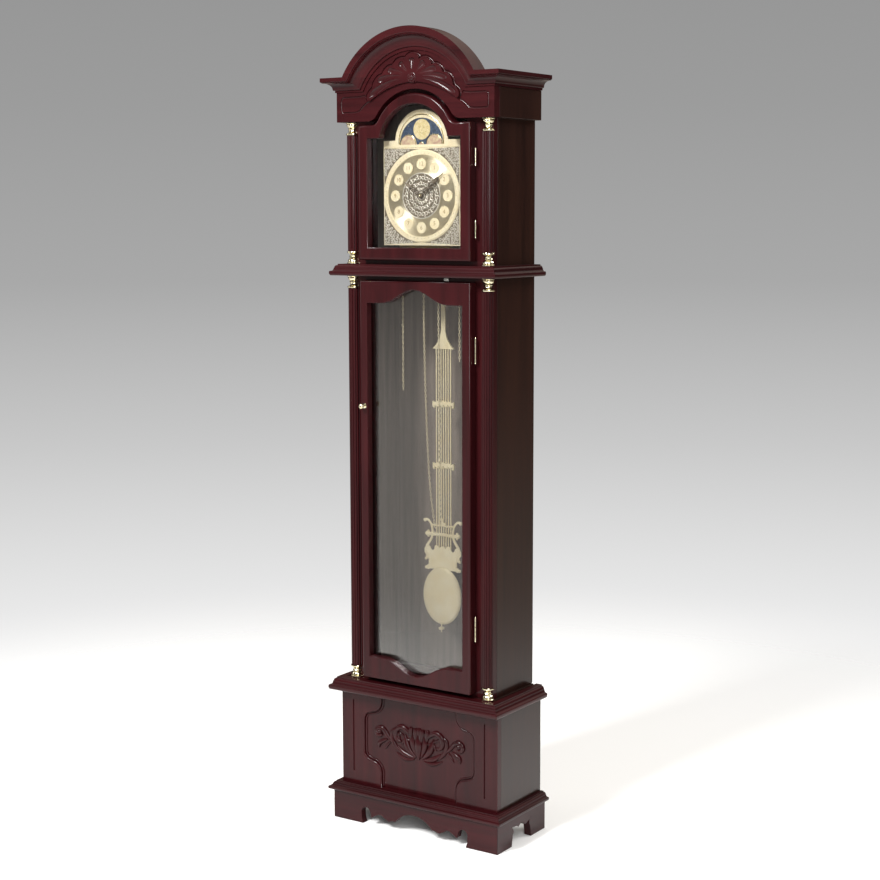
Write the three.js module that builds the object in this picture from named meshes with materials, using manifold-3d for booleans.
// A longcase (grandfather) clock with a break-arch hood, glazed doors, a two-chain movement,
// a moon dial and a lyre pendulum. Millimetres, +Z up, front towards -Y.
// Inside the clock group a place is (x, -depth, z), where depth is counted from the back of the case.
import * as THREE from "three";
import { mergeVertices } from "three/addons/utils/BufferGeometryUtils.js";
import Module from "manifold-3d";

const wasm = await Module();
wasm.setup();

// ---------- driving dimensions ----------
// case
const caseHalfWidth = 194;
const caseDepth = 174.5;
const sideThickness = 15;
const frameThickness = 18;
const backThickness = 4;
const glueGap = 0.3;
// heights of the stacked stages, from the floor up
const footHeight = 68;
const plinthHeight = 21;
const baseHeight = 245.5;
const baseMouldingHeight = 30;
const trunkHeight = 942.5;
const waistHeight = 26;
const hoodHeight = 318;
const friezeHeight = 65.5;
const corniceHeight = 32;
// base
const baseSideStep = 22.5;
const baseFrontStep = 15;
const footSideStep = 12.5;
const footFrontStep = 19.5;
const baseHalfWidth = caseHalfWidth + baseSideStep;
const baseDepth = caseDepth + baseFrontStep;
const footHalfWidth = baseHalfWidth + footSideStep;
const footDepth = baseDepth + footFrontStep;
const apronThickness = 18;
const panelRecess = 6;
const panelHalfWidth = 158;
// frieze and arch
const friezeSideStep = 16;
const friezeFrontStep = 22.5;
const friezeHalfWidth = caseHalfWidth + friezeSideStep;
const friezeDepth = caseDepth + friezeFrontStep;
const archOuterRadius = 200;
const archWidth = 50;
// doors
const doorHalfWidth = 149.5;
const doorThickness = 25;
const doorStile = 25;
const doorGap = 10;
const doorBackClearance = 0.5;
const glassThickness = 3;
const glassLip = 6;
const glassSetback = 18;
// columns
const columnRadius = 13.5;
const columnInset = 12;
const capitalHeight = 28;
const capitalRadius = 15.5;
const fluteCount = 7;
const fluteDepth = 1.6;
// dial, its centre and its moon window
const dialHalfWidth = 102.5;
const dialDepth = 166;
const dialPlate = 1.5;
const dialBottomRise = 43;
const dialCentreRise = 152.5;
const dialShoulderRise = 275;
const dialArchRadius = 70.5;
const moonAxisRise = 265.5;
const moonWindowRadius = 58.5;
const moonOrbit = 33;
const moonHumpRadius = 22;
// movement, chains and pendulum
const plateHalfWidth = 70;
const plateHeight = 182;
const plateThickness = 2.5;
const frontPlateDepth = 152;
const backPlateDepth = 110;
const sprocketDepth = 130;
const sprocketOffset = 48.5;
const sprocketRadius = 26;
const chainDiameter = 5;
const pendulumDepth = 79;
const pivotRise = 140;
const pendulumFloorClearance = 112.5;
const crossBarShares = [0.247, 0.525];
const rodSpacing = 6.5;
const runningClearance = 0.6;

// ---------- levels and places worked out from them ----------
const plinthTop = footHeight + plinthHeight;
const baseTop = footHeight + baseHeight;
const trunkBottom = baseTop + baseMouldingHeight;
const waistBottom = trunkBottom + trunkHeight;
const waistTop = waistBottom + waistHeight;
const friezeBottom = waistTop + hoodHeight;
const corniceBottom = friezeBottom + friezeHeight;
const corniceTop = corniceBottom + corniceHeight;
const archCentre = friezeBottom;
const archInnerRadius = archOuterRadius - archWidth;
const insideHalfWidth = caseHalfWidth - sideThickness;
const frameBack = caseDepth - frameThickness;
const doorBack = caseDepth + doorBackClearance;
const doorFront = doorBack + doorThickness;
const openingHalfWidth = doorHalfWidth - doorStile;
const glassFront = doorFront - glassSetback;
const glassBack = glassFront - glassThickness;
const columnX = caseHalfWidth - columnInset;
const columnBack = caseDepth + glueGap;
const dialCentre = waistTop + dialCentreRise;
const moonAxis = waistTop + moonAxisRise;
const seatThickness = 16;
const seatTop = waistTop + 6;
const seatBottom = seatTop - seatThickness;
const sprocketHeight = seatTop + 82;
const pivotHeight = waistTop + pivotRise;
const pendulumFoot = trunkBottom + pendulumFloorClearance;

// ---------- materials ----------
const finish = (color, roughness, metalness) => ({ color, roughness, metalness });
const mahogany = finish(0x6a2a2c, 0.22, 0);
const mahoganySide = finish(0x4a1f1d, 0.3, 0);
const darkPly = finish(0x3a2018, 0.7, 0);
const clearGlass = { ...finish(0xdfe8e6, 0.05, 0), transparent: true, opacity: 0.25 };
const brass = finish(0xd9c27a, 0.22, 1);
const silver = finish(0xc8c8c4, 0.3, 1);
const dialBrass = finish(0xe8dcb0, 0.35, 0.8);
const moonBlue = finish(0x4a5f84, 0.5, 0);
const steel = finish(0x9a9a98, 0.35, 1);

// ---------- solids ----------
function toSolid(geometry) {
  const bare = new THREE.BufferGeometry();
  const flat = geometry.index ? geometry.toNonIndexed() : geometry;
  bare.setAttribute("position", flat.getAttribute("position").clone());
  const merged = mergeVertices(bare, 1e-4);
  const corners = new Uint32Array(merged.index.array);
  const build = () =>
    new wasm.Manifold(
      new wasm.Mesh({
        numProp: 3,
        vertProperties: new Float32Array(merged.attributes.position.array),
        triVerts: corners,
      }),
    );
  const solid = build();
  if (solid.volume() > 0) return solid;
  for (let i = 0; i < corners.length; i += 3) {
    [corners[i + 1], corners[i + 2]] = [corners[i + 2], corners[i + 1]];
  }
  return build();
}

function toGeometry(solid) {
  const mesh = solid.getMesh();
  const points = new Float32Array(mesh.numVert * 3);
  for (let i = 0; i < mesh.numVert; i++) {
    points.set(mesh.vertProperties.subarray(i * mesh.numProp, i * mesh.numProp + 3), i * 3);
  }
  const geometry = new THREE.BufferGeometry();
  geometry.setAttribute("position", new THREE.BufferAttribute(points, 3));
  geometry.setIndex(new THREE.BufferAttribute(new Uint32Array(mesh.triVerts), 1));
  const faceted = geometry.toNonIndexed();
  faceted.computeVertexNormals();
  return faceted;
}

const join = (first, ...rest) => rest.reduce((all, solid) => all.add(solid), first);
const cut = (body, ...tools) => tools.reduce((left, tool) => left.subtract(tool), body);

// A block between two x, two depths and two heights.
function block(x0, x1, depth0, depth1, z0, z1) {
  const geometry = new THREE.BoxGeometry(x1 - x0, depth1 - depth0, z1 - z0);
  geometry.translate((x0 + x1) / 2, -(depth0 + depth1) / 2, (z0 + z1) / 2);
  return toSolid(geometry);
}

// An outline drawn as (x, z), as seen from the front, and made solid between two depths.
function board(outline, depth0, depth1, curveSegments = 12) {
  const shape = outline instanceof THREE.Shape ? outline : shapeOf(outline);
  const geometry = new THREE.ExtrudeGeometry(shape, {
    depth: depth1 - depth0,
    bevelEnabled: false,
    curveSegments,
  });
  geometry.rotateX(Math.PI / 2);
  geometry.translate(0, -depth0, 0);
  return toSolid(geometry);
}

// An outline drawn as (depth, z), as seen from the side, and made solid between two x.
function sideBoard(outline, x0, x1) {
  const geometry = new THREE.ExtrudeGeometry(shapeOf(outline), {
    depth: x1 - x0,
    bevelEnabled: false,
  });
  geometry.rotateX(Math.PI / 2);
  geometry.rotateZ(-Math.PI / 2);
  geometry.translate(x1, 0, 0);
  return toSolid(geometry);
}

// An outline drawn as (x, -depth), as seen from above, and made solid between two heights.
function upright(outline, z0, z1) {
  const geometry = new THREE.ExtrudeGeometry(shapeOf(outline), {
    depth: z1 - z0,
    bevelEnabled: false,
  });
  geometry.translate(0, 0, z0);
  return toSolid(geometry);
}

function shapeOf(points) {
  return new THREE.Shape(points.map(([a, b]) => new THREE.Vector2(a, b)));
}

// A round bar along the depth, at (x, z), between two depths.
function rod(x, z, radius, depth0, depth1, sides = 20) {
  const geometry = new THREE.CylinderGeometry(radius, radius, depth1 - depth0, sides);
  geometry.translate(x, -(depth0 + depth1) / 2, z);
  return toSolid(geometry);
}

// A turned piece whose axis is upright, from [radius, z] points that start and end on the axis.
function turned(points, x, depth, sides) {
  const geometry = new THREE.LatheGeometry(
    points.map(([r, z]) => new THREE.Vector2(r, z)),
    sides,
  );
  geometry.rotateX(Math.PI / 2);
  geometry.translate(x, -depth, 0);
  return toSolid(geometry);
}

// Points along an arc, angles in degrees, counted from +x towards +z.
function arc(x, z, radius, from, to, steps) {
  return Array.from({ length: steps + 1 }, (_, i) => {
    const angle = THREE.MathUtils.degToRad(from + ((to - from) * i) / steps);
    return [x + radius * Math.cos(angle), z + radius * Math.sin(angle)];
  });
}

const mirrored = (points) => points.map(([x, z]) => [-x, z]).reverse();
const degrees = THREE.MathUtils.radToDeg;

// ---------- moulding profiles: [projection, height above the underside] ----------
// A quarter-round hollow between two points, leaving the first one sideways.
function hollow(p0, z0, p1, z1, steps = 4) {
  return Array.from({ length: steps + 1 }, (_, i) => {
    const angle = (i / steps) * (Math.PI / 2);
    return [p0 + (p1 - p0) * (1 - Math.cos(angle)), z0 + (z1 - z0) * Math.sin(angle)];
  });
}

const corniceProfile = [
  [2.5, 0],
  [2.5, 4],
  ...hollow(4, 5, 15, 16),
  [16.5, 16],
  [16.5, 19],
  ...hollow(18, 19.5, 24, 26),
  [27, 26.5],
  [27, corniceHeight],
];

// The stepped edge of the waist, base and plinth mouldings, for a given height.
function edgeProfile(height) {
  const stepped = [
    [14, 0],
    [15.5, 0.12],
    [18, 0.18],
    [18, 0.32],
    [16, 0.36],
    [13.5, 0.42],
    [11, 0.52],
    [10, 0.56],
    [10, 0.66],
    [8.5, 0.7],
    [6, 0.77],
    [4.5, 0.88],
    [3.5, 0.9],
    [3.5, 1],
  ];
  return stepped.map(([p, share]) => [p, share * height]);
}

// A slab with the profile run round its front and both sides, mitred at the corners.
function mouldedSlab(profile, halfWidth, depth, z0) {
  const reach = Math.max(...profile.map(([p]) => p)) + 1;
  const top = z0 + profile[profile.length - 1][1];
  const frontEdge = profile.map(([p, z]) => [depth + p, z0 + z]);
  const rightEdge = profile.map(([p, z]) => [halfWidth + p, z0 + z]);
  const fromSide = sideBoard(
    [[0, z0], ...frontEdge, [0, top]],
    -halfWidth - reach,
    halfWidth + reach,
  );
  const fromFront = board([...mirrored(rightEdge).reverse(), ...rightEdge.slice().reverse()],
    0, depth + reach);
  return fromSide.intersect(fromFront);
}

// ---------- the clock ----------
const clock = new THREE.Group();
const overallDepth = friezeDepth + corniceProfile[corniceProfile.length - 1][0];
clock.position.y = overallDepth / 2;

function add(name, solid, material) {
  const mesh = new THREE.Mesh(toGeometry(solid), new THREE.MeshStandardMaterial(material));
  mesh.name = name;
  clock.add(mesh);
}

// case sides, back and boards
for (const [side, sign] of [["left", -1], ["right", 1]]) {
  const inner = sign * insideHalfWidth;
  const outer = sign * caseHalfWidth;
  add(
    "side_panel_" + side,
    block(Math.min(inner, outer), Math.max(inner, outer), 0, frameBack, trunkBottom, corniceTop),
    mahoganySide,
  );
}
const backEdge = insideHalfWidth - glueGap;
const baseInside = baseHalfWidth - sideThickness;
const baseBackEdge = baseInside - glueGap;
add(
  "back_panel",
  join(
    block(-backEdge, backEdge, 0, backThickness, baseTop - sideThickness, corniceTop),
    block(-baseBackEdge, baseBackEdge, 0, backThickness, footHeight, baseTop),
  ),
  darkPly,
);
const boardBack = backThickness + glueGap;
add(
  "top_board",
  block(-backEdge, backEdge, boardBack, frameBack - glueGap, corniceTop - 15, corniceTop),
  mahoganySide,
);
const chainSlot = [sprocketDepth - 12, sprocketDepth + 12];
const pendulumSlot = [pendulumDepth - 14, pendulumDepth + 14];
const slotHalfWidth = sprocketOffset + sprocketRadius + 12;
add(
  "seat_board",
  cut(
    block(-backEdge, backEdge, 45, frameBack - glueGap, seatBottom, seatTop),
    block(-slotHalfWidth, slotHalfWidth, ...chainSlot, seatBottom - 1, seatTop + 1),
    block(-40, 40, ...pendulumSlot, seatBottom - 1, seatTop + 1),
  ),
  darkPly,
);

// base box
const trunkFloorStep = 6;
const trunkFloorHalfWidth = caseHalfWidth + trunkFloorStep;
const trunkFloorFrontStep = 3.5;
const trunkFloorDepth = caseDepth + trunkFloorFrontStep;
add(
  "trunk_floor",
  block(
    -trunkFloorHalfWidth + glueGap,
    trunkFloorHalfWidth - glueGap,
    boardBack,
    trunkFloorDepth - glueGap,
    baseTop + glueGap,
    trunkBottom,
  ),
  mahoganySide,
);
const baseFrameBack = baseDepth - sideThickness;
for (const [side, sign] of [["left", -1], ["right", 1]]) {
  const inner = sign * baseInside;
  const outer = sign * baseHalfWidth;
  add(
    "base_side_" + side,
    block(Math.min(inner, outer), Math.max(inner, outer), 0, baseFrameBack, footHeight, baseTop),
    mahoganySide,
  );
}

// The window in the base front: a panel with bracket-shaped shoulders, right half from the top.
const bracketHalf = [
  [104, baseTop + 1],
  [104, baseTop - 20],
  ...arc(131, baseTop - 20, 27, 180, 270, 4).slice(1),
  [134, baseTop - 49],
  ...arc(134, baseTop - 68, 19, 90, 0, 4),
  [153, plinthTop + 82],
  ...arc(134, plinthTop + 82, 19, 0, -90, 4),
  ...arc(131, plinthTop + 34, 27, 90, 180, 4),
  [104, plinthTop - 1],
];
const bracketWindow = [...bracketHalf, ...mirrored(bracketHalf)];
const groove = (x) =>
  join(
    block(x - 2.5, x + 2.5, baseDepth - 2.5, baseDepth + 1, plinthTop + 30, baseTop - 26),
    rod(x, plinthTop + 30, 2.5, baseDepth - 2.5, baseDepth + 1, 12),
    rod(x, baseTop - 26, 2.5, baseDepth - 2.5, baseDepth + 1, 12),
  );
const grooveX = 183;
add(
  "base_front_frame",
  cut(
    block(-baseHalfWidth, baseHalfWidth, baseFrameBack + glueGap, baseDepth, footHeight, baseTop),
    board(bracketWindow, baseFrameBack - 1, baseDepth + 1),
    groove(grooveX),
    groove(-grooveX),
    block(
      -panelHalfWidth, panelHalfWidth, baseFrameBack, baseDepth - panelRecess,
      plinthTop - 4, baseTop + 1,
    ),
  ),
  mahogany,
);
const panelFront = baseDepth - panelRecess - glueGap;
add(
  "base_front_panel",
  block(-157.5, 157.5, panelFront - 8, panelFront, plinthTop - 3.5, baseTop - glueGap),
  mahogany,
);

// carving on the base panel: a lotus between two ribbons that end in scrolls
const lotusHeight = plinthTop + 122.5;
const carvingBack = panelFront + glueGap;
const carvingFront = carvingBack + 11;
function petal(x, z, length, width, lean) {
  const points = Array.from({ length: 16 }, (_, i) => {
    const turn = (i / 16) * Math.PI * 2;
    const along = (length / 2) * Math.cos(turn);
    const across = (width / 2) * Math.sin(turn) * (1 - 0.35 * Math.cos(turn));
    const tilt = THREE.MathUtils.degToRad(lean);
    return [
      x + along * Math.sin(tilt) + across * Math.cos(tilt),
      z + along * Math.cos(tilt) - across * Math.sin(tilt),
    ];
  });
  return board(points, carvingBack, carvingFront);
}
const ring = (x, z, outer, inner, depth0, depth1, sides = 24) =>
  cut(rod(x, z, outer, depth0, depth1, sides), rod(x, z, inner, depth0 - 1, depth1 + 1, sides));
// A flat strip of even width along a smooth line through (x, z) points.
function strip(points, halfWidth, depth0, depth1, count = 20) {
  const line = new THREE.CatmullRomCurve3(points.map(([x, z]) => new THREE.Vector3(x, 0, z)));
  const above = [];
  const below = [];
  for (let i = 0; i <= count; i++) {
    const point = line.getPoint(i / count);
    const along = line.getTangent(i / count);
    above.push([point.x - along.z * halfWidth, point.z + along.x * halfWidth]);
    below.push([point.x + along.z * halfWidth, point.z - along.x * halfWidth]);
  }
  return board([...above, ...below.reverse()], depth0, depth1);
}
const ribbonUpper = [[0, -8], [30, 6], [58, 24], [84, 30], [104, 18]];
const ribbonLower = [[0, -30], [28, -24], [56, -22], [84, -14], [100, 0]];
const ribbon = (line, sign) =>
  strip(
    line.map(([x, z]) => [sign * x, lotusHeight + z]), 6, carvingBack, carvingFront - 2,
  );
add(
  "lotus_carving",
  join(
    petal(0, lotusHeight + 12, 78, 30, 0),
    petal(16, lotusHeight + 8, 68, 22, 24),
    petal(-16, lotusHeight + 8, 68, 22, -24),
    petal(32, lotusHeight - 4, 74, 22, 56),
    petal(-32, lotusHeight - 4, 74, 22, -56),
    petal(0, lotusHeight - 32, 46, 40, 0),
    ...[1, -1].flatMap((sign) => [ribbon(ribbonUpper, sign), ribbon(ribbonLower, sign)]),
    ring(112, lotusHeight + 14, 18, 6, carvingBack, carvingFront),
    ring(-112, lotusHeight + 14, 18, 6, carvingBack, carvingFront),
    petal(104, lotusHeight - 12, 44, 14, -28),
    petal(-104, lotusHeight - 12, 44, 14, 28),
  ),
  mahogany,
);

// bracket feet: the front apron between two mitred corners, and one apron at each side
const cuspHeight = footHeight - 30;
const frontFootInner = 144;
const frontOutline = [
  [footHalfWidth, 0],
  [footHalfWidth, footHeight],
  [-footHalfWidth, footHeight],
  [-footHalfWidth, 0],
  [-frontFootInner, 0],
  [-frontFootInner - 4, 12],
  ...arc(-frontFootInner + 8, 27, 13, 200, 20, 8),
  [-frontFootInner + 24, 17],
  ...arc(-96, 15, 14, 130, 40, 4),
  [-70, 17],
  [-60, 21],
  ...arc(0, -20, 66, 142, 38, 14),
  [60, 21],
  [70, 17],
  ...arc(96, 15, 14, 140, 50, 4),
  [frontFootInner - 24, 17],
  ...arc(frontFootInner - 8, 27, 13, 160, -20, 8),
  [frontFootInner + 4, 12],
  [frontFootInner, 0],
];
const mitreReach = 38;
const mitreOverrun = 2;
const mitreWedge = (gap) =>
  upright(
    [
      [-footHalfWidth - mitreOverrun - gap, -footDepth - mitreOverrun],
      [footHalfWidth + mitreOverrun + gap, -footDepth - mitreOverrun],
      [footHalfWidth - mitreReach + gap, -footDepth + mitreReach],
      [-footHalfWidth + mitreReach - gap, -footDepth + mitreReach],
    ],
    -1,
    footHeight + 1,
  );
add(
  "apron_front",
  board(frontOutline, footDepth - apronThickness, footDepth).intersect(mitreWedge(0)),
  mahogany,
);
const sideFootLength = 60;
const sideOutline = [
  [footDepth, 0],
  [footDepth, footHeight],
  [0, footHeight],
  [0, 0],
  [sideFootLength + 2, 0],
  [sideFootLength + 4, 12],
  ...arc(sideFootLength - 1, 36, 12, -50, 110, 6),
  [sideFootLength + 26, 36],
  [sideFootLength + 34, cuspHeight],
  ...arc(footDepth / 2, 26, 18, 130, 50, 4),
  [footDepth - sideFootLength - 34, cuspHeight],
  [footDepth - sideFootLength - 26, 43],
  ...arc(footDepth - sideFootLength + 1, 34, 11, 110, 220, 6),
  [footDepth - sideFootLength - 4, 12],
  [footDepth - sideFootLength - 2, 0],
];
for (const [side, sign] of [["left", -1], ["right", 1]]) {
  const inner = sign * (footHalfWidth - apronThickness);
  const outer = sign * footHalfWidth;
  add(
    "apron_" + side,
    cut(
      sideBoard(sideOutline, Math.min(inner, outer), Math.max(inner, outer)),
      mitreWedge(glueGap),
    ),
    mahoganySide,
  );
}

// mouldings round the plinth, the base top and the waist, each stepping out from what it goes round
const plinthSteps = [5.5, 10.5];
const baseMouldingSteps = [22, 28];
const waistSteps = [12, 22];
const plinthCore = block(
  -baseHalfWidth - glueGap, baseHalfWidth + glueGap, -1, baseDepth + glueGap,
  footHeight - 1, plinthTop + 1,
);
add(
  "plinth_moulding",
  cut(
    mouldedSlab(
      edgeProfile(plinthHeight - glueGap),
      baseHalfWidth + plinthSteps[0],
      baseDepth + plinthSteps[1],
      footHeight + glueGap,
    ),
    plinthCore,
  ),
  mahogany,
);
const floorCore = block(
  -trunkFloorHalfWidth, trunkFloorHalfWidth, -1, trunkFloorDepth, baseTop - 1, trunkBottom + 1,
);
add(
  "base_moulding",
  cut(
    mouldedSlab(
      edgeProfile(baseMouldingHeight - glueGap),
      caseHalfWidth + baseMouldingSteps[0],
      caseDepth + baseMouldingSteps[1],
      baseTop + glueGap,
    ),
    floorCore,
  ),
  mahogany,
);
const caseCore = block(
  -caseHalfWidth - glueGap, caseHalfWidth + glueGap, -1, caseDepth + glueGap,
  waistBottom - 1, corniceTop + 1,
);
add(
  "waist_moulding",
  cut(
    mouldedSlab(
      edgeProfile(waistHeight),
      caseHalfWidth + waistSteps[0],
      caseDepth + waistSteps[1],
      waistBottom,
    ),
    caseCore,
  ),
  mahogany,
);

// face frames behind the doors
const frameOpening = openingHalfWidth + 1.5;
const frameJoint = (waistBottom + waistTop) / 2;
const trunkOpeningBottom = trunkBottom + 50;
const trunkOpeningTop = waistBottom - 22;
add(
  "trunk_face_frame",
  cut(
    block(-caseHalfWidth, caseHalfWidth, frameBack + glueGap, caseDepth, trunkBottom, frameJoint),
    block(-frameOpening, frameOpening, frameBack - 1, caseDepth + 1, trunkOpeningBottom, trunkOpeningTop),
  ),
  mahogany,
);
const hoodOpeningTop = moonAxis + dialArchRadius + 16;
add(
  "hood_face_frame",
  cut(
    block(
      -caseHalfWidth, caseHalfWidth, frameBack + glueGap, caseDepth,
      frameJoint + glueGap, corniceTop,
    ),
    block(-frameOpening, frameOpening, frameBack - 1, caseDepth + 1, waistTop + 32, hoodOpeningTop),
  ),
  mahogany,
);

// frieze: a front board with an arched top and an arched lower edge, and a board at each side
const doorArchRadius = 110;
const doorArchCentre = friezeBottom - 52;
const friezeArchRadius = doorArchRadius + 9;
// Half of an arch that meets a level edge through a small reversed curve, from the middle out.
function archedEdge(centre, radius, level, ease, steps = 10) {
  const reach = radius + ease;
  const joint = degrees(Math.asin((level + ease - centre) / reach));
  const easeX = reach * Math.cos(THREE.MathUtils.degToRad(joint));
  return [
    ...arc(0, centre, radius, 90, joint, steps),
    ...arc(easeX, level + ease, ease, 180 + joint, 270, 5).slice(1),
  ];
}
const friezeLower = archedEdge(doorArchCentre, friezeArchRadius, friezeBottom, 28);
const boardArch = archInnerRadius - glueGap;
const boardArchFoot = degrees(Math.asin((corniceBottom - archCentre) / boardArch));
const friezeOutline = [
  [friezeHalfWidth, friezeBottom],
  [friezeHalfWidth, corniceBottom],
  ...arc(0, archCentre, boardArch, boardArchFoot, 180 - boardArchFoot, 32),
  [-friezeHalfWidth, corniceBottom],
  [-friezeHalfWidth, friezeBottom],
  ...mirrored(friezeLower),
  ...friezeLower.slice(1),
];
// The carved shell: lobes that spread from a boss to tips on an arc under the moulding.
const shellBoss = archCentre + 92;
const shellTipRadius = 126;
const shellLobes = 9;
function shellLobe(index) {
  const share = index / (shellLobes - 1);
  const tipAngle = THREE.MathUtils.degToRad(153 - 126 * share);
  const tip = [shellTipRadius * Math.cos(tipAngle), archCentre + shellTipRadius * Math.sin(tipAngle)];
  const rise = 6 * Math.sin(Math.PI * share);
  const dx = tip[0];
  const dz = tip[1] + rise - shellBoss;
  const length = Math.hypot(dx, dz) + 8;
  const lean = Math.atan2(dx, dz);
  const points = Array.from({ length: 14 }, (_, i) => {
    const turn = (i / 14) * Math.PI * 2;
    const along = (length / 2) * (1 + Math.cos(turn));
    const across = 13 * Math.sin(turn) * (0.35 + (0.65 * along) / length);
    return [
      along * Math.sin(lean) + across * Math.cos(lean),
      shellBoss + along * Math.cos(lean) - across * Math.sin(lean),
    ];
  });
  return board(points, friezeDepth - 1, friezeDepth + 5);
}
add(
  "frieze_board",
  join(
    board(friezeOutline, caseDepth + glueGap, friezeDepth),
    ...Array.from({ length: shellLobes }, (_, i) => shellLobe(i)),
    rod(0, shellBoss, 14, friezeDepth - 1, friezeDepth + 6, 16),
  ),
  mahogany,
);
for (const [side, sign] of [["left", -1], ["right", 1]]) {
  const inner = sign * (caseHalfWidth + glueGap);
  const outer = sign * friezeHalfWidth;
  add(
    "frieze_side_" + side,
    block(
      Math.min(inner, outer), Math.max(inner, outer), 0, caseDepth,
      friezeBottom, corniceBottom - glueGap,
    ),
    mahoganySide,
  );
}

// cornice: one mitred length at each side of the arch, and the arch moulding of the same profile
const mitreInnerX = Math.sqrt(archInnerRadius ** 2 - (corniceBottom - archCentre) ** 2);
const mitreOuterX = Math.sqrt(archOuterRadius ** 2 - (corniceTop - archCentre) ** 2);
const mitreSlope = (mitreOuterX - mitreInnerX) / corniceHeight;
const mitreX = (z) => mitreInnerX + (z - corniceBottom) * mitreSlope;
const mitreTop = archCentre + archOuterRadius + 10;
const archRegion = (gap) => {
  const foot = corniceBottom + glueGap - 2 * gap;
  const right = [
    [mitreX(foot) + gap, foot],
    [mitreX(corniceTop + 60) + gap, corniceTop + 60],
    [mitreX(corniceTop + 60) + gap, mitreTop],
  ];
  return board([...right, ...mirrored(right)], caseDepth - 2, friezeDepth + 40);
};
const corniceRing = cut(
  mouldedSlab(corniceProfile, friezeHalfWidth, friezeDepth, corniceBottom),
  caseCore,
  archRegion(glueGap),
);
for (const [side, sign] of [["left", -1], ["right", 1]]) {
  const half = block(
    sign < 0 ? -friezeHalfWidth - 50 : 0, sign < 0 ? 0 : friezeHalfWidth + 50,
    -1, friezeDepth + 50, corniceBottom - 1, corniceTop + 1,
  );
  add("cornice_" + side, corniceRing.intersect(half), mahogany);
}
const radialScale = archWidth / corniceHeight;
const archSection = [
  [archInnerRadius, -caseDepth - glueGap],
  ...corniceProfile.map(([p, z]) => [archInnerRadius + z * radialScale, -friezeDepth - p]),
  [archOuterRadius, -caseDepth - glueGap],
];
const archRing = new THREE.LatheGeometry(
  [...archSection, archSection[0]].map(([r, y]) => new THREE.Vector2(r, y)),
  72,
);
archRing.translate(0, 0, archCentre);
add("arch_moulding", toSolid(archRing).intersect(archRegion(0)), mahogany);

// half-round fluted columns, each between two turned capitals
function columnOutline(x) {
  const steps = fluteCount * 4;
  const rim = Array.from({ length: steps + 1 }, (_, i) => {
    const angle = Math.PI + (i / steps) * Math.PI;
    const dip = fluteDepth * Math.abs(Math.sin((i / steps) * Math.PI * fluteCount));
    const radius = columnRadius - dip;
    return [x + radius * Math.cos(angle), -columnBack + radius * Math.sin(angle)];
  });
  return rim;
}
const capitalProfile = [
  [0, 0],
  [capitalRadius - 1, 0],
  [capitalRadius, 2],
  [capitalRadius - 1, 4.5],
  [11, 8],
  [8.5, 12],
  [8.5, 16],
  [11, 20],
  [capitalRadius - 1, 23.5],
  [capitalRadius, 26],
  [capitalRadius - 1, capitalHeight],
  [0, capitalHeight],
];
function capital(x, z0) {
  const whole = turned(capitalProfile.map(([r, z]) => [r, z + z0]), x, columnBack, 20);
  return whole.intersect(block(x - 20, x + 20, columnBack, columnBack + 20, z0 - 1, z0 + 30));
}
const stages = [
  ["trunk", trunkBottom, waistBottom],
  ["hood", waistTop, friezeBottom],
];
for (const [stage, bottom, top] of stages) {
  for (const [side, sign] of [["left", -1], ["right", 1]]) {
    const x = sign * columnX;
    const low = bottom + capitalHeight + glueGap;
    const high = top - capitalHeight - glueGap;
    add(stage + "_column_" + side, upright(columnOutline(x), low + glueGap, high - glueGap), mahogany);
    add(stage + "_capital_bottom_" + side, capital(x, bottom + glueGap), brass);
    add(stage + "_capital_top_" + side, capital(x, high), brass);
  }
}

// ---------- doors ----------
function grow(points, by) {
  const centre = points.reduce(([a, b], [x, z]) => [a + x, b + z], [0, 0]).map((s) => s / points.length);
  return points.map((point, i) => {
    const before = points[(i + points.length - 1) % points.length];
    const after = points[(i + 1) % points.length];
    const along = new THREE.Vector2(after[0] - before[0], after[1] - before[1]).normalize();
    const out = new THREE.Vector2(along.y, -along.x);
    if (out.x * (point[0] - centre[0]) + out.y * (point[1] - centre[1]) < 0) out.negate();
    const corner = new THREE.Vector2(point[0] - before[0], point[1] - before[1])
      .normalize()
      .dot(new THREE.Vector2(after[0] - point[0], after[1] - point[1]).normalize());
    const stretch = by / Math.sqrt(Math.max(0.5, (1 + corner) / 2));
    return [point[0] + out.x * stretch, point[1] + out.y * stretch];
  });
}

const hoodDoorBottom = waistTop + doorGap;
const hoodDoorShoulder = friezeBottom - doorGap + 1.5;
const hoodDoorHalf = [
  ...archedEdge(doorArchCentre, doorArchRadius, hoodDoorShoulder, 20),
  [doorHalfWidth, hoodDoorShoulder],
  [doorHalfWidth, hoodDoorBottom],
];
const hoodDoorOutline = [...mirrored(hoodDoorHalf), ...hoodDoorHalf.slice(1)];
const hoodSightBottom = waistTop + 38;
const hoodSightShoulder = waistTop + 280;
const hoodSightCentre = hoodSightShoulder - 20;
const hoodSightRadius = 93;
const sightFoot = degrees(Math.asin(20 / hoodSightRadius));
const hoodSightHalf = [
  ...arc(0, hoodSightCentre, hoodSightRadius, 90, sightFoot, 10),
  [openingHalfWidth, hoodSightShoulder],
  [openingHalfWidth, hoodSightBottom],
];
const hoodSight = [...mirrored(hoodSightHalf), ...hoodSightHalf.slice(1)];

const trunkDoorBottom = trunkBottom + doorGap;
const trunkDoorTop = waistBottom - doorGap;
const trunkDoorOutline = [
  [-doorHalfWidth, trunkDoorBottom],
  [doorHalfWidth, trunkDoorBottom],
  [doorHalfWidth, trunkDoorTop],
  [-doorHalfWidth, trunkDoorTop],
];
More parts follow.
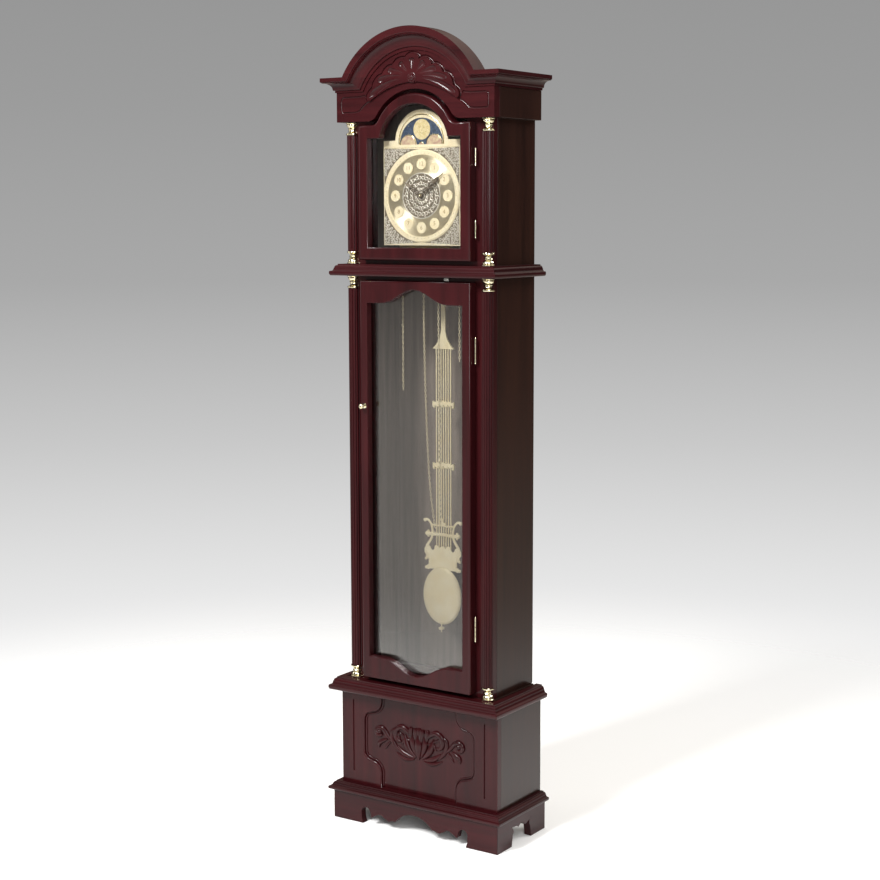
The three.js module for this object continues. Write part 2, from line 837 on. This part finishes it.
// A serpentine edge: level at the stiles, swelling by rise at the middle.
function serpentine(level, rise, shoulder) {
  return Array.from({ length: 17 }, (_, i) => {
    const x = openingHalfWidth + 4 - ((openingHalfWidth + 4) * 2 * i) / 16;
    const share = Math.min(1, Math.abs(x) / shoulder);
    const wave = (1 + Math.cos(Math.PI * share)) / 2;
    return [x, level + rise * wave];
  });
}
const trunkSightTop = serpentine(trunkDoorTop - 51, 32, 88);
const trunkSightBottom = serpentine(trunkDoorBottom + 52, -32, 88).reverse();
const trunkSight = [...trunkSightTop, ...trunkSightBottom];

function doorFrame(outline, sight) {
  const rebate = grow(sight, glassLip + glueGap);
  return cut(
    board(outline, doorBack, doorFront),
    board(sight, doorBack - 1, doorFront + 1),
    board(rebate, doorBack - 1, glassFront + glueGap),
  );
}
add("hood_door_frame", doorFrame(hoodDoorOutline, hoodSight), mahogany);
add("hood_door_glass", board(grow(hoodSight, glassLip), glassBack, glassFront), clearGlass);
add("trunk_door_frame", doorFrame(trunkDoorOutline, trunkSight), mahogany);
add("trunk_door_glass", board(grow(trunkSight, glassLip), glassBack, glassFront), clearGlass);

// door hinges: a barrel beside the door's edge on a leaf that is screwed to the face frame
const barrelRadius = 2.6;
const hingeX = doorHalfWidth + glueGap + barrelRadius;
const hingeDepth = doorBack + doorThickness * 0.4;
function hinge(z0, z1) {
  const barrel = new THREE.CylinderGeometry(barrelRadius, barrelRadius, z1 - z0, 14);
  barrel.rotateX(Math.PI / 2);
  barrel.translate(hingeX, -hingeDepth, (z0 + z1) / 2);
  return join(
    toSolid(barrel),
    block(hingeX - 0.9, hingeX + 0.9, caseDepth + glueGap, hingeDepth, z0 + 1, z1 - 1),
    block(hingeX - 0.9, hingeX + 5, caseDepth + glueGap, caseDepth + 1.8, z0 + 1, z1 - 1),
  );
}
add("hood_door_hinge_top", hinge(waistTop + 218, waistTop + 252), brass);
add("hood_door_hinge_bottom", hinge(waistTop + 62, waistTop + 96), brass);
add("trunk_door_hinge_top", hinge(waistBottom - 186, waistBottom - 132), brass);
add("trunk_door_hinge_bottom", hinge(trunkBottom + 132, trunkBottom + 186), brass);

// trunk door knob, turned about the depth axis, and the catch above the door
const knobHeight = waistBottom - 296;
const knobProfile = [
  [0, 0],
  [6.5, 0],
  [6.5, 1.2],
  [3.2, 2.4],
  [3, 6],
  [6, 8.5],
  [7.2, 11.5],
  [6, 14.5],
  [3, 16],
  [0, 16.4],
];
const knob = new THREE.LatheGeometry(knobProfile.map(([r, y]) => new THREE.Vector2(r, -y)), 20);
knob.translate(-openingHalfWidth - doorStile / 2, -doorFront - glueGap, knobHeight);
add("trunk_door_knob", toSolid(knob), brass);
add(
  "door_catch",
  block(71, 83, caseDepth + glueGap, caseDepth + 9, trunkDoorTop + 1.5, waistBottom - 1.5),
  steel,
);

// ---------- dial ----------
const dialBottom = waistTop + dialBottomRise;
const dialShoulder = waistTop + dialShoulderRise;
const dialArch = arc(0, moonAxis + 6, dialArchRadius, 3, 177, 28);
const dialOutline = [
  [-dialHalfWidth, dialBottom],
  [dialHalfWidth, dialBottom],
  [dialHalfWidth, dialShoulder],
  ...dialArch,
  [-dialHalfWidth, dialShoulder],
];
const dialBack = dialDepth - dialPlate;
const hump = (x) => rod(x, moonAxis, moonHumpRadius, dialBack - 1, dialDepth + 1, 28);
const moonWindow = cut(
  board(arc(0, moonAxis, moonWindowRadius, 0, 180, 24), dialBack - 1, dialDepth + 1),
  hump(moonOrbit + 2),
  hump(-moonOrbit - 2),
  rod(0, moonAxis, 6, dialBack - 1, dialDepth + 1, 16),
);
const arborRadius = 2;
const pipeRadius = 4;
const dialHole = pipeRadius + 1;
const dialFeet = [[-80, 30], [80, 30], [-80, 190], [80, 190]];
const dialFoot = ([x, rise]) =>
  rod(x, dialBottom + rise, 2.5, frontPlateDepth + 2, dialBack + 0.1, 10);
add(
  "dial_plate",
  cut(
    join(board(dialOutline, dialBack, dialDepth), ...dialFeet.map(dialFoot)),
    moonWindow,
    rod(0, dialCentre, dialHole, dialBack - 1, dialDepth + 1),
  ),
  dialBrass,
);
const moonDiscFront = dialBack - runningClearance;
const moonDiscBack = moonDiscFront - 1.2;
const moonSpindleEnd = frontPlateDepth + 0.6;
add(
  "moon_disc",
  join(
    rod(0, moonAxis, moonWindowRadius + 3.5, moonDiscBack, moonDiscFront, 48),
    rod(0, moonAxis, 3, moonSpindleEnd, moonDiscBack + 0.1, 12),
  ),
  moonBlue,
);

// hands, pointing up here and turned to their time about the dial's centre
function hand(length, width, hubRadius, depth0, depth1) {
  const half = [
    [hubRadius * 0.5, 0],
    [width * 0.28, hubRadius + 2],
    [width * 0.5, length * 0.32],
    [width * 0.25, length * 0.45],
    [width * 0.42, length * 0.62],
    [width * 0.16, length * 0.74],
    [0.5, length],
  ];
  const outline = [...half, ...mirrored(half)];
  return join(board(outline, depth0, depth1), rod(0, 0, hubRadius, depth0, depth1, 20));
}
function turnedTo(solid, clockAngle) {
  const geometry = toGeometry(solid);
  geometry.rotateY(THREE.MathUtils.degToRad(clockAngle));
  geometry.translate(0, 0, dialCentre);
  return toSolid(geometry);
}
const minuteAngle = 51;
const hourAngle = (10 + 8.5 / 60) * 30;
add(
  "hour_hand",
  turnedTo(
    cut(
      join(hand(54, 12, 7, dialDepth + 2, dialDepth + 3.2), rod(0, 0, pipeRadius, 154, dialDepth + 3)),
      rod(0, 0, arborRadius + runningClearance, 150, dialDepth + 5),
    ),
    hourAngle,
  ),
  silver,
);
add(
  "minute_hand",
  turnedTo(
    join(
      hand(80, 10, 5, dialDepth + 5, dialDepth + 6.2),
      rod(0, 0, arborRadius, frontPlateDepth + 0.6, dialDepth + 9),
    ),
    minuteAngle,
  ),
  silver,
);

// ---------- movement ----------
const plateTop = seatTop + plateHeight;
const frontPlate = block(
  -plateHalfWidth, plateHalfWidth, frontPlateDepth - plateThickness, frontPlateDepth,
  seatTop + glueGap, plateTop,
);
const backPlate = block(
  -plateHalfWidth, plateHalfWidth, backPlateDepth - plateThickness, backPlateDepth,
  seatTop + glueGap, plateTop,
);
const pillar = (x, z) => rod(x, z, 4, backPlateDepth - 0.5, frontPlateDepth - plateThickness + 0.5, 12);
const pillarX = plateHalfWidth - 7;
const suspension = join(
  block(-9, 9, pendulumDepth + 8, backPlateDepth - plateThickness + 0.5, pivotHeight - 9, pivotHeight + 9),
  rod(0, pivotHeight, 3, pendulumDepth - 7, pendulumDepth + 9, 16),
  rod(0, pivotHeight, 6, pendulumDepth - 9, pendulumDepth - 6.5, 16),
);
const arborHole = 3 + runningClearance;
add(
  "movement_frame",
  cut(
    join(
      frontPlate,
      backPlate,
      pillar(pillarX, seatTop + 12),
      pillar(-pillarX, seatTop + 12),
      pillar(pillarX, plateTop - 10),
      pillar(-pillarX, plateTop - 10),
      suspension,
    ),
    ...[-1, 1].flatMap((sign) => [
      rod(sign * sprocketOffset, sprocketHeight, arborHole, backPlateDepth - 4, frontPlateDepth + 1),
    ]),
  ),
  brass,
);
const sprocketProfile = [
  [0, -9],
  [sprocketRadius + 4, -9],
  [sprocketRadius + 4, -6],
  [sprocketRadius - 1, -4],
  [sprocketRadius - 1, 4],
  [sprocketRadius + 4, 6],
  [sprocketRadius + 4, 9],
  [0, 9],
];
for (const [side, sign] of [["left", -1], ["right", 1]]) {
  const wheel = new THREE.LatheGeometry(
    sprocketProfile.map(([r, y]) => new THREE.Vector2(r, y)),
    30,
  );
  wheel.translate(sign * sprocketOffset, -sprocketDepth, sprocketHeight);
  add(
    "chain_sprocket_" + side,
    join(
      toSolid(wheel),
      rod(sign * sprocketOffset, sprocketHeight, 3, backPlateDepth - 1, frontPlateDepth - 1, 12),
    ),
    brass,
  );
}

// chains: each runs over its sprocket; the long ends hang behind the door and hook together
const wrapRadius = sprocketRadius + chainDiameter / 2 + glueGap;
function chain(sign, shortEnd, longEnd) {
  const outerX = sign * (sprocketOffset + wrapRadius);
  const innerX = sign * (sprocketOffset - wrapRadius);
  const [from, to] = sign > 0 ? [0, 180] : [180, 0];
  const over = arc(sign * sprocketOffset, sprocketHeight, wrapRadius, from, to, 8);
  const straightEnd = sprocketHeight - 60;
  const points = [[outerX, shortEnd], [outerX, straightEnd], ...over, [innerX, straightEnd], ...longEnd];
  const path = new THREE.CatmullRomCurve3(
    points.map(([x, z]) => new THREE.Vector3(x, -sprocketDepth, z)),
    false,
    "centripetal",
  );
  const circle = new THREE.Shape();
  circle.absarc(0, 0, chainDiameter / 2, 0, Math.PI * 2);
  const geometry = new THREE.ExtrudeGeometry(circle, {
    steps: 72,
    curveSegments: 4,
    extrudePath: path,
    bevelEnabled: false,
  });
  return toSolid(geometry);
}
const leftLongEnd = [[-19, 1150], [-16, 1040], [-13, 960], [-8, 860], [-1, 780], [8, 722]];
const rightLongEnd = [[21, 1150], [22, 1000], [23, 860], [24, 780], [24.5, 716]];
add("chain_left", chain(-1, 1024, leftLongEnd), brass);
add("chain_right", chain(1, 1096, rightLongEnd), brass);

// ---------- pendulum ----------
const at = pendulumDepth;
const bobBottom = pendulumFoot + 18;
const bobCentre = bobBottom + 68;
const lyreBottom = bobCentre + 62;
const hangerBottom = pivotHeight - 334;
const gridRod = (x) =>
  block(x - 1.4, x + 1.4, at - 1.4, at + 1.4, lyreBottom + 30, hangerBottom + 3);
const crossBar = (z) =>
  board(
    [
      [-29.5, -6], [-24, -3], [-16, -6.5], [-6, -4], [0, -9], [6, -4], [16, -6.5], [24, -3], [29.5, -6],
      [29.5, 6], [24, 3], [16, 6.5], [6, 4], [0, 9], [-6, 4], [-16, 6.5], [-24, 3], [-29.5, 6],
    ].map(([x, dz]) => [x, z + dz]),
    at - 2.5,
    at + 3,
  );
const hanger = board(
  [
    [-5.8, hangerBottom + 42],
    [-10, hangerBottom + 24],
    [-20, hangerBottom + 9],
    [-29.5, hangerBottom],
    [29.5, hangerBottom],
    [20, hangerBottom + 9],
    [10, hangerBottom + 24],
    [5.8, hangerBottom + 42],
    [5.8, pivotHeight - 12],
    ...arc(0, pivotHeight, 10, -55, 235, 16),
    [-5.8, pivotHeight - 12],
  ],
  at - 2,
  at + 2,
);
const pivotHole = rod(0, pivotHeight, 3 + runningClearance, at - 10, at + 6);
add(
  "pendulum_rod",
  cut(
    join(
      hanger,
      ...[-3, -2, -1, 0, 1, 2, 3].map((n) => gridRod(n * rodSpacing)),
      ...crossBarShares.map((share) => crossBar(hangerBottom - share * (hangerBottom - lyreBottom))),
    ),
    pivotHole,
  ),
  brass,
);

// The lyre plate is riveted to the front of the rods; its arms curl out into two horns.
const lyreBack = at + 3.3;
const lyreFront = lyreBack + 3;
const bobDepth = lyreFront + glueGap + 4;
const lyreArm = (sign) =>
  strip(
    [[44, 8], [34, 34], [31, 52], [31, 66], [28, 84], [29, 98], [34, 108], [43, 113], [48, 110]].map(
      ([x, z]) => [sign * x, lyreBottom + z],
    ),
    3.2,
    lyreBack,
    lyreFront,
  );
const lyreBody = board(
  [
    [-38, -4], [-44, 6], [-36, 14], [-42, 24], [-50, 28], [-50, 42], [-44, 48], [-30, 47], [-26, 40],
    [-18, 46], [0, 44], [18, 46], [26, 40], [30, 47], [44, 48], [50, 42], [50, 28], [42, 24],
    [36, 14], [44, 6], [38, -4],
  ].map(([x, z]) => [x, lyreBottom + z]),
  lyreBack,
  lyreFront,
);
const lyreBar = (z, half, height) =>
  block(-half, half, lyreBack, lyreFront + 1, lyreBottom + z - height / 2, lyreBottom + z + height / 2);
add(
  "pendulum_lyre",
  join(
    lyreBody,
    lyreArm(1),
    lyreArm(-1),
    lyreBar(77, 46, 9),
    lyreBar(100, 30, 4),
    board(
      [[-9, 100], [9, 100], [4, 110], [0, 122], [-4, 110]].map(([x, z]) => [x, lyreBottom + z]),
      lyreBack,
      lyreFront,
    ),
  ),
  brass,
);

// The bob: an oval dome on the front of the lyre plate, on a threaded tail with a rating nut.
const bobHalfWidth = 53;
const bobHalfHeight = 68;
const bobBulge = 9;
const bobSteps = 6;
const bobProfile = Array.from({ length: bobSteps + 1 }, (_, i) => {
  const angle = ((i / bobSteps) * Math.PI) / 2;
  return [bobHalfWidth * Math.sin(angle), -2 - bobBulge * Math.cos(angle)];
});
const bob = new THREE.LatheGeometry(
  [...bobProfile, [bobHalfWidth, 0], [0, 0]].map(([r, y]) => new THREE.Vector2(r, y)),
  40,
);
bob.scale(1, 1, bobHalfHeight / bobHalfWidth);
bob.translate(0, -lyreFront - glueGap, bobCentre);
const tailBottom = bobBottom - 18;
const tailRadius = 1.6;
function uprightRod(radius, depth, z0, z1, sides = 16) {
  const geometry = new THREE.CylinderGeometry(radius, radius, z1 - z0, sides);
  geometry.rotateX(Math.PI / 2);
  geometry.translate(0, -depth, (z0 + z1) / 2);
  return toSolid(geometry);
}
const bobTail = uprightRod(tailRadius, bobDepth, tailBottom, bobBottom + 12);
add("pendulum_bob", join(toSolid(bob), bobTail), brass);
add(
  "rating_nut",
  cut(
    uprightRod(7, bobDepth, bobBottom - 11, bobBottom - 6, 20),
    uprightRod(tailRadius + glueGap, bobDepth, tailBottom - 1, bobBottom + 1, 12),
  ),
  brass,
);

export default clock;
